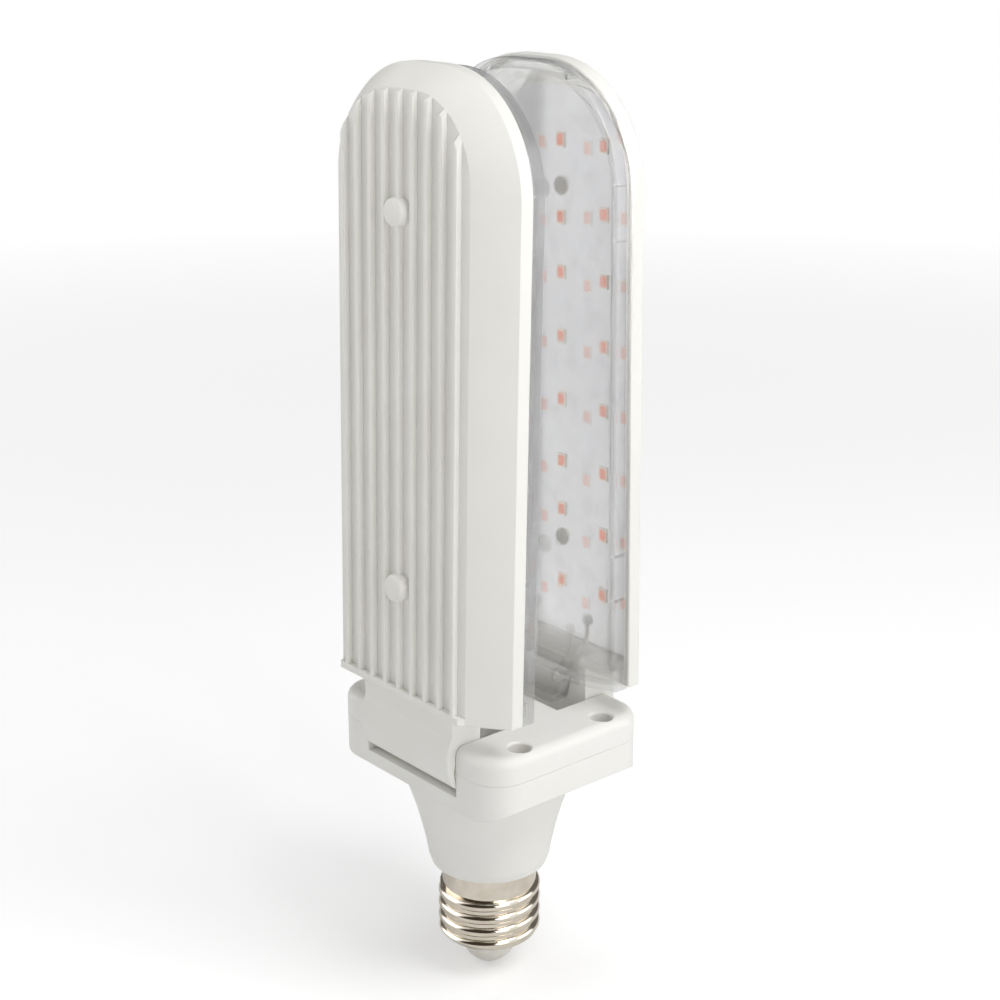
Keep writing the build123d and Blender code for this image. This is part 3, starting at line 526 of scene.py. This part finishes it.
def block(name, x0, x1, y0, y1, z0, z1):
    """A cube between two corners, in millimetres, opened for editing."""
    let_go()
    middle = Vector(((x0 + x1) / 2, (y0 + y1) / 2, (z0 + z1) / 2)) * mm
    size = (abs(x1 - x0) * mm, abs(y1 - y0) * mm, abs(z1 - z0) * mm)
    bpy.ops.mesh.primitive_cube_add(size=1, location=middle, scale=size)
    return edit(name)


def rod(name, radius, start, end, sides=48):
    """A cylinder between two points, in millimetres, opened for editing."""
    let_go()
    start, end = Vector(start) * mm, Vector(end) * mm
    middle, length = (start + end) / 2, (end - start).length
    turn = (end - start).to_track_quat("Z", "Y").to_euler()
    bpy.ops.mesh.primitive_cylinder_add(
        vertices=sides, radius=radius * mm, depth=length, location=middle, rotation=turn
    )
    return edit(name)


print("Modelling helpers ready")

# %% [markdown]
# ## The petal's sizes
# A petal is modelled upright about its own hinge line and then placed. x points out of its finned back,
# y runs along the hinge and z up the petal. The outline is an arch: straight sides, a square foot and
# two large rounded corners. These are the sizes of the CAD model, in millimetres.

# %% Petal sizes
hinge_x, seam_z, toe_in = 21.6, 68.65, math.radians(1.146)
petal_low, fin_strip = 15.4, 1.75
wide = {"half": 32.5, "top": 164.1, "corner": 28.0}
base = {"half": 23.8, "top": 158.8, "corner": 19.5}
crest = {"half": 22.85, "top": 157.85, "corner": 18.55}
crest_x, groove_x, rim_back_x, rim_front_x, cover_front_x = 7.69, 6.19, -0.78, -4.25, -8.55
floor_x, low_floor_x, shell_wall = 4.9, 3.4, 1.8
fin_pitch, groove_w = 5.11, 4.05
arm_half, arm_back_x, ledge_z = 17.1, 4.82, 11.9
arm_edge, arm_out, pocket_wall = 0.7, 1.0, 2.2
duct_half, duct_low_z = 2.3, -1.7
bore_r, bore_low_y, seat_r, seat_low_y = 2.02, 11, 3.7, 16.3
board_screw_zs, boss_drop, boss_r, boss_x, boss_edge = (44.0, 132.8), 0.9, 3.3, 9.2, 0.9
screw_hole_r, screw_hole_x = 1.32, 8.6
skin_edge = 0.3


def place_petal(piece, side):
    """Put a petal's piece on its hinge: side b is toed in towards the middle, side a is its mirror."""
    only(piece)
    piece.rotation_euler = (0, -toe_in, 0)
    piece.location = (hinge_x * mm, 0, seam_z * mm)
    bpy.ops.object.transform_apply(location=True, rotation=True, scale=True)
    if side == "a":
        piece.scale = (-1, 1, 1)
        bpy.ops.object.transform_apply(location=False, rotation=False, scale=True)
        bpy.ops.object.mode_set(mode="EDIT")
        bpy.ops.mesh.select_all(action="SELECT")
        bpy.ops.mesh.flip_normals()
        bpy.ops.object.mode_set(mode="OBJECT")


def both_petals(piece, name, finish, node):
    """Finish a petal's piece and its mirrored copy, and let both stand for their CAD nodes."""
    for side in ("a", "b"):
        if side == "a":
            copy = piece.copy()
            copy.data = piece.data.copy()
            bpy.context.collection.objects.link(copy)
        else:
            copy = piece
        copy.name = f"{name}_{side}"
        copy.data.name = copy.name
        place_petal(copy, side)
        copy.data.materials.clear()
        copy.data.materials.append(finish)
        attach(copy, f"petal_{side}")
        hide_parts(f"{node}_{side}")
        print(copy.name, "faces", len(copy.data.polygons))


print("Petal height in mm", wide["top"] - petal_low)

# %% [markdown]
# ## The finned back, first its outer skin
# The shell is a moulded tray. Its outside is flat in the middle, where the fins stand, and falls over a
# slightly convex bevel to the rim band. It could be a box with a large bevel, but the outline widens
# more at the sides than at the top. So the arch is drawn at several depths, each one a plane with its
# two upper corners rounded, and the arches are bridged.


# %% Arches and their bridge
def arch_at(size, low, x, segments=20):
    """In edit mode, add an arch that stands across the petal at a depth, and leave it selected."""
    middle = Vector((x, 0, (low + size["top"]) / 2)) * mm
    bpy.ops.mesh.primitive_plane_add(size=mm, location=middle, rotation=(0, math.pi / 2, 0))
    bpy.ops.transform.resize(value=(1, 2 * size["half"], size["top"] - low), center_override=middle)
    inner = bmesh.from_edit_mesh(bpy.context.object.data)
    for corner in inner.verts:
        if corner.select and corner.co.z < middle.z:
            corner.select_set(False)
    inner.select_flush_mode()
    bmesh.update_edit_mesh(bpy.context.object.data)
    bpy.ops.mesh.select_mode(type="VERT")
    bpy.ops.mesh.bevel(offset=size["corner"] * mm, segments=segments, profile=0.5, affect="VERTICES")


def at_depth(x):
    """A test for edges that lie wholly at one depth of the petal."""
    return lambda first, second: near(first.x, x) and near(second.x, x)


def bridge(x0, x1):
    """In edit mode, bridge the outlines at two depths."""
    pick("EDGE", lambda first, second: at_depth(x0)(first, second) or at_depth(x1)(first, second))
    bpy.ops.mesh.bridge_edge_loops()


def convex(first, first_x, last, last_x, turn, steps):
    """The arches along a convex bevel that turns by an angle, as (size, depth) pairs."""
    chord = math.atan2(first_x - last_x, last["half"] - first["half"])
    start = chord - turn / 2
    radius = math.hypot(last["half"] - first["half"], last_x - first_x) / (2 * math.sin(turn / 2))
    stations = []
    for step in range(steps + 1):
        angle = start + turn * step / steps
        out = radius * (math.sin(angle) - math.sin(start))
        share = out / (last["half"] - first["half"])
        size = {key: first[key] + share * (last[key] - first[key]) for key in first}
        stations.append((size, first_x - radius * (math.cos(start) - math.cos(angle))))
    return stations


def stack(name, stations, low, close_first, close_last):
    """A skin bridged over arches at growing distance, with its first and last outline closed or open."""
    let_go()
    bpy.ops.mesh.primitive_plane_add(size=mm)
    skin = edit(name)
    bpy.ops.mesh.delete(type="VERT")
    for number, (size, x) in enumerate(stations):
        arch_at(size, low, x)
        keep = (number == 0 and close_first) or (number == len(stations) - 1 and close_last)
        if not keep:
            pick("FACE", lambda centre, normal: near(centre.x, x))
            bpy.ops.mesh.delete(type="ONLY_FACE")
    for (_, x0), (_, x1) in zip(stations, stations[1:]):
        bridge(x0, x1)
    bpy.ops.mesh.select_all(action="SELECT")
    bpy.ops.mesh.normals_make_consistent(inside=False)
    return skin


bevel_turn = math.radians(10)
outside = convex(base, groove_x, wide, rim_back_x, bevel_turn, 5) + [(wide, rim_front_x)]
shell = stack("petal_shell", outside, petal_low, True, True)
pick("EDGE", lambda first, second: near(first.x, rim_front_x) and near(second.x, rim_front_x))
bpy.ops.mesh.bevel(offset=skin_edge * mm, segments=3, profile=0.5, affect="EDGES")
print("Outer skin", len(bmesh.from_edit_mesh(shell.data).faces), "faces")

# %% [markdown]
# ## Fins
# Nine fins stand on the flat of the back, and a plain strip joins their lower ends. All their other
# ends run out on one sloping border. So the whole field is made as a low arch with sloping sides, one
# groove is made as a bar and copied across it, and the bars are cut out. Then the crests are rounded.

# %% The field of the fins
sink, root, groove_count = 0.02, 0.4, 10
sunk = {key: value - sink for key, value in base.items()}
fins = stack("fins", [(sunk, groove_x - root), (sunk, groove_x), (crest, crest_x)], petal_low, True, True)
let_go()
bar = block(
    "groove", groove_x - 1, crest_x + 1, -groove_w / 2, groove_w / 2, petal_low + fin_strip, base["top"] + 2
)
let_go()
bars = []
for number in range(groove_count):
    copy = bar.copy()
    copy.data = bar.data.copy()
    bpy.context.collection.objects.link(copy)
    only(copy)
    bpy.ops.transform.translate(value=(0, (number - (groove_count - 1) / 2) * fin_pitch * mm, 0))
    bpy.ops.object.transform_apply(location=True, rotation=True, scale=True)
    bars.append(copy)
bpy.data.objects.remove(bar)
cut_with(fins, join_up(bars, "grooves"))
print("Fins", len(fins.data.polygons), "faces")

# %% Round the crests and set the fins on the back
only(fins)
bpy.ops.object.mode_set(mode="EDIT")
crests = pick("EDGE", lambda first, second: near(first.x, crest_x) and near(second.x, crest_x))
bpy.ops.mesh.bevel(offset=skin_edge * mm, segments=3, profile=0.5, affect="EDGES", clamp_overlap=True)
let_go()
cut_with(shell, fins, "UNION")
print("Crest edges", crests, "skin with fins", len(shell.data.polygons), "faces")

# %% [markdown]
# ## The tray and the arm
# The inside of the tray is a second stack of arches, and it is cut out of the first. The hinge arm is
# drawn as its side outline, point by point: a straight front, the round end about the hinge line, the
# bulged back and the straight neck. A point that is extruded leaves an edge, and a point that is spun
# leaves an arc, so the outline is drawn as with a pen and then extruded to the arm's width.


# %% Pen
def pen(name, x, y, z):
    """Start an outline: one point, in millimetres, in edit mode."""
    let_go()
    bpy.ops.mesh.primitive_plane_add(size=mm)
    drawn = edit(name)
    bpy.ops.mesh.select_mode(type="VERT")
    bpy.ops.mesh.select_all(action="SELECT")
    bpy.ops.mesh.merge(type="CENTER")
    bpy.ops.transform.translate(value=Vector((x, y, z)) * mm)
    return drawn


def line_to(x, y, z):
    """Extrude the outline's last point to a place."""
    mesh = bmesh.from_edit_mesh(bpy.context.object.data)
    last = next(point for point in mesh.verts if point.select)
    step = Vector((x, y, z)) * mm - last.co
    bpy.ops.mesh.extrude_vertices_move(TRANSFORM_OT_translate={"value": step})


def arc_about(centre, angle, steps, axis=(0, 1, 0)):
    """Spin the outline's last point about a centre."""
    bpy.ops.mesh.spin(steps=steps, angle=angle, center=Vector(centre) * mm, axis=axis)


def last_point():
    """Where the outline's last point is, in millimetres."""
    mesh = bmesh.from_edit_mesh(bpy.context.object.data)
    return next(point for point in mesh.verts if point.select).co / mm


def close_outline():
    """Join the outline's ends and fill it with one face."""
    bpy.ops.mesh.select_all(action="SELECT")
    bpy.ops.mesh.edge_face_add()


# %% The arm
bulge_x, bulge_z, bulge_r, end_r = -7.5, 3.7, 13.5, 5.3
gap = math.hypot(bulge_x, bulge_z)
along = (gap ** 2 + end_r ** 2 - bulge_r ** 2) / (2 * gap)
across = math.sqrt(end_r ** 2 - along ** 2)
ux, uz = bulge_x / gap, bulge_z / gap
meets = [(along * ux - s * across * uz, along * uz + s * across * ux) for s in (-1, 1)]
meet = min(meets, key=lambda place: place[1] - place[0])
face_z = -math.sqrt(end_r ** 2 - rim_front_x ** 2)
high = petal_low + arm_out
arm = pen("arm", rim_front_x, -arm_half, high)
line_to(rim_front_x, -arm_half, face_z)
start_angle = math.atan2(face_z, rim_front_x)
meet_angle = math.atan2(meet[1], meet[0])
arc_about((0, -arm_half, 0), meet_angle - start_angle, 16)
print("Arm end at", last_point(), "wanted", meet)
first_angle = math.atan2(meet[1] - bulge_z, meet[0] - bulge_x)
last_angle = math.acos((arm_back_x - bulge_x) / bulge_r)
arc_about((bulge_x, -arm_half, bulge_z), last_angle - first_angle, 28)
print("Bulge end at", last_point(), "wanted x", arm_back_x)
line_to(arm_back_x, -arm_half, high)
close_outline()
bpy.ops.mesh.extrude_region_move(TRANSFORM_OT_translate={"value": (0, 2 * arm_half * mm, 0)})
bpy.ops.mesh.select_all(action="SELECT")
bpy.ops.mesh.normals_make_consistent(inside=False)
arm_side = lambda point: near(abs(point.y), arm_half, 0.01)
pick("EDGE", lambda first, second: arm_side(first) and near(first.y, second.y) and first.z < high - 0.1)
bpy.ops.mesh.bevel(offset=arm_edge * mm, segments=4, profile=0.5, affect="EDGES")
let_go()
print("Arm faces", len(arm.data.polygons))

# %% [markdown]
# ## One moulding
# Tray, arm and the two screw bosses are one moulding, so they are united, and then the hollow of the
# tray, the pocket behind the arm's ledge, the duct for the wires and the bores are cut out of it. A
# boolean modifier does each cut, and its tool is an ordinary piece that is thrown away afterwards.

# %% Unite and cut
let_go()
cut_with(shell, arm, "UNION")
for z in board_screw_zs:
    boss = rod("boss", boss_r, (floor_x, 0, z - boss_drop), (boss_x, 0, z - boss_drop), 64)
    pick("EDGE", at_depth(boss_x))
    bpy.ops.mesh.bevel(offset=boss_edge * mm, segments=5, profile=0.5, affect="EDGES")
    let_go()
    cut_with(shell, boss, "UNION")
mouth = {key: value - shell_wall for key, value in wide.items()}
deep = {"half": 22.9, "top": 157.6, "corner": 18.3}
tray_low = petal_low + shell_wall
hollow = stack(
    "hollow",
    convex(deep, floor_x, mouth, rim_back_x - 0.4, bevel_turn, 5) + [(mouth, rim_front_x - 1)],
    tray_low, True, True,
)
let_go()
step_z, far_y = 17.6, 40
step = block("step", low_floor_x, floor_x + 1, -far_y, far_y, tray_low - 1, step_z)
let_go()
cut_with(hollow, step)
cut_with(shell, hollow)
pocket_half = arm_half - pocket_wall
tools = [
    block("pocket", rim_front_x - 1, low_floor_x, -pocket_half, pocket_half, ledge_z, tray_low + 1),
    block("duct", -duct_half, duct_half, -bore_low_y - 1, bore_low_y + 1, duct_low_z, ledge_z + 1),
]
for end in (-1, 1):
    outside_y = end * (arm_half + 1)
    tools.append(rod("bore", bore_r, (0, end * bore_low_y, 0), (0, outside_y, 0)))
    tools.append(rod("washer_seat", seat_r, (0, end * seat_low_y, 0), (0, outside_y, 0)))
for z in board_screw_zs:
    tools.append(rod("screw_hole", screw_hole_r, (floor_x - 1, 0, z), (screw_hole_x, 0, z)))
let_go()
for tool in tools:
    cut_with(shell, tool)
only(shell)
bpy.ops.object.shade_smooth_by_angle(angle=math.radians(32))
print("Petal shell", len(shell.data.polygons), "faces")
both_petals(shell, "petal_shell", shell_white, "back_shell")

# %% [markdown]
# ## The clear cover
# The cover is a shallow tray of clear plastic over the LEDs, with a bowed foot, a tongue that hangs
# over the hinge arm, and an inner lip that snaps into the rim. Clear plastic shows every wall twice, so
# it is built with its real thickness: the outline is drawn with the pen, extruded, rounded at the front
# and then hollowed from behind by an inset and an extrusion.


# %% Outline of the cover
cover_rim, foot_side_z, foot_mid_z, cover_wall, cover_edge = 0.6, 15.0, 11.3, 1.4, 0.7


def cover_outline(name, x, inset):
    """Draw the cover's outline at a depth, drawn in by an inset."""
    half, top, corner = [wide[key] - cover_rim - inset for key in ("half", "top", "corner")]
    side, mid = foot_side_z + inset, foot_mid_z + inset
    drawn = pen(name, x, -half, side)
    line_to(x, -half, top - corner)
    arc_about((x, -half + corner, top - corner), math.pi / 2, 24, (1, 0, 0))
    line_to(x, half - corner, top)
    arc_about((x, half - corner, top - corner), math.pi / 2, 24, (1, 0, 0))
    line_to(x, half, side)
    radius = (half ** 2 + (side - mid) ** 2) / (2 * (side - mid))
    sweep = 2 * math.asin(half / radius)
    arc_about((x, 0, mid + radius), sweep, 32, (1, 0, 0))
    bpy.ops.mesh.select_all(action="SELECT")
    bpy.ops.mesh.remove_doubles(threshold=0.02 * mm)
    bpy.ops.mesh.edge_face_add()
    return drawn


# %% Cover body
cover = cover_outline("clear_cover", rim_front_x, 0.0)
print("Outline points", len(bmesh.from_edit_mesh(cover.data).verts))
bpy.ops.mesh.extrude_region_move(
    TRANSFORM_OT_translate={"value": ((cover_front_x - rim_front_x) * mm, 0, 0)}
)
bpy.ops.mesh.select_all(action="SELECT")
bpy.ops.mesh.normals_make_consistent(inside=False)
pick("EDGE", at_depth(cover_front_x))
bpy.ops.mesh.bevel(offset=cover_edge * mm, segments=4, profile=0.5, affect="EDGES")
let_go()
room = cover_outline("cover_room", rim_front_x + 1, cover_wall)
bpy.ops.mesh.extrude_region_move(
    TRANSFORM_OT_translate={"value": ((cover_front_x + cover_wall - rim_front_x - 1) * mm, 0, 0)}
)
bpy.ops.mesh.select_all(action="SELECT")
bpy.ops.mesh.normals_make_consistent(inside=False)
pick("EDGE", at_depth(cover_front_x + cover_wall))
bpy.ops.mesh.bevel(offset=cover_edge / 2 * mm, segments=2, profile=0.5, affect="EDGES")
let_go()
print("Cover body", len(cover.data.polygons), "faces")


# %% Tongue
tongue_high_z, tongue_low_z, tongue_top_half, tongue_low_half, tongue_corner = 17.0, 4.5, 13.4, 10.2, 2.0


def tongue(name, x0, x1, inset):
    """The tongue as a block with leaning sides and two rounded lower corners."""
    high, low = tongue_high_z, tongue_low_z + inset
    top_half, low_half = tongue_top_half - inset, tongue_low_half - inset
    made = pen(name, x0, -top_half, high)
    line_to(x0, -low_half, low)
    line_to(x0, low_half, low)
    line_to(x0, top_half, high)
    close_outline()
    pick("VERT", lambda point: near(point.z, low))
    bpy.ops.mesh.bevel(offset=(tongue_corner - inset / 2) * mm, segments=8, profile=0.5, affect="VERTICES")
    bpy.ops.mesh.select_all(action="SELECT")
    bpy.ops.mesh.extrude_region_move(TRANSFORM_OT_translate={"value": ((x1 - x0) * mm, 0, 0)})
    bpy.ops.mesh.select_all(action="SELECT")
    bpy.ops.mesh.normals_make_consistent(inside=False)
    return made


flap = tongue("tongue", rim_front_x, cover_front_x + 0.01, 0.0)
let_go()
flap_room = tongue("tongue_room", rim_front_x + 1, cover_front_x + cover_wall, cover_wall)
let_go()
cut_with(cover, flap, "UNION")
cut_with(cover, room)
cut_with(cover, flap_room)
print("Cover with tongue", len(cover.data.polygons), "faces")

# %% [markdown]
# ## Lip and snap hooks
# Just inside the cover's wall a lip reaches into the rim. It is cut through beside each snap hook, so
# that the hook can bend, and these short gaps show through the clear wall as fine steps.

# %% Inner lip
lip_gap, lip_wall, lip_low, lip_cut = 0.1, 1.2, 20.0, 0.7
lip_size = {key: value - lip_gap for key, value in mouth.items()}
lip_in = {key: value - lip_wall for key, value in lip_size.items()}
lip_x0, lip_x1 = cover_front_x + 0.7, rim_front_x + 1.5
lip = stack("lip", [(lip_size, lip_x1), (lip_size, lip_x0)], lip_low, True, True)
let_go()
lip_room = stack("lip_room", [(lip_in, lip_x1 + 1), (lip_in, lip_x0 - 1)], lip_low - 2, True, True)
let_go()
cut_with(lip, lip_room)
cuts = [(-far_y, far_y, z, z + lip_cut) for z in (37.8, 49.2, 124.9, 137.4)]
cuts += [(y - lip_cut / 2, y + lip_cut / 2, 150, 170) for y in (-13.5, 13.5)]
for place in cuts:
    gap_tool = block("gap", lip_x0 + 1.2, lip_x1 + 1, *place)
    let_go()
    cut_with(lip, gap_tool)
cut_with(cover, lip, "UNION")
print("Lip cuts", len(cuts))

# %% Clip block
clip_box, clip_edge = (-7.6, -5.4, -11.6, -8.2, 10.4, 13.4), 0.3
clip = block("clip", *clip_box)
bpy.ops.mesh.select_all(action="SELECT")
bpy.ops.mesh.bevel(offset=clip_edge * mm, segments=2, profile=0.5, affect="EDGES")
let_go()
cut_with(cover, clip, "UNION")
only(cover)
bpy.ops.object.shade_smooth_by_angle(angle=math.radians(32))
print("Clear cover", len(cover.data.polygons), "faces")
both_petals(cover, "clear_cover_dress", clear_plastic, "clear_cover")

# %% Give every CAD node its finish
finishes = {
    "nickel": nickel, "contact_metal": tin, "screw_steel": screw_steel, "pin_steel": pin_steel,
    "copper": copper, "solder": solder_tin, "white_plastic": housing_white, "white_shell": shell_white,
    "clear_plastic": clear_plastic,
}
plain_slots = {
    "cap_plastic": "cap_cream", "washer_nylon": "washer_nylon", "board_green": "green_board",
    "can_black": "black_sleeve", "moulded_black": "black_sleeve", "ferrite": "ferrite",
    "resistor_body": "resistor_lacquer", "lead_black": "lead_black", "lead_red": "lead_red",
    "lead_white": "lead_white", "board_white": "board_lacquer", "led_body": "led_cream",
    "led_coral": "phosphor_coral",
}
for slot, finish in plain_slots.items():
    finishes[slot] = plain[finish]
for name, node in sorted(nodes.items()):
    slot = node.data.materials[0].name
    node.material_slots[0].link = "OBJECT"
    node.material_slots[0].material = finishes[slot]
print("Dressed nodes", len(nodes))
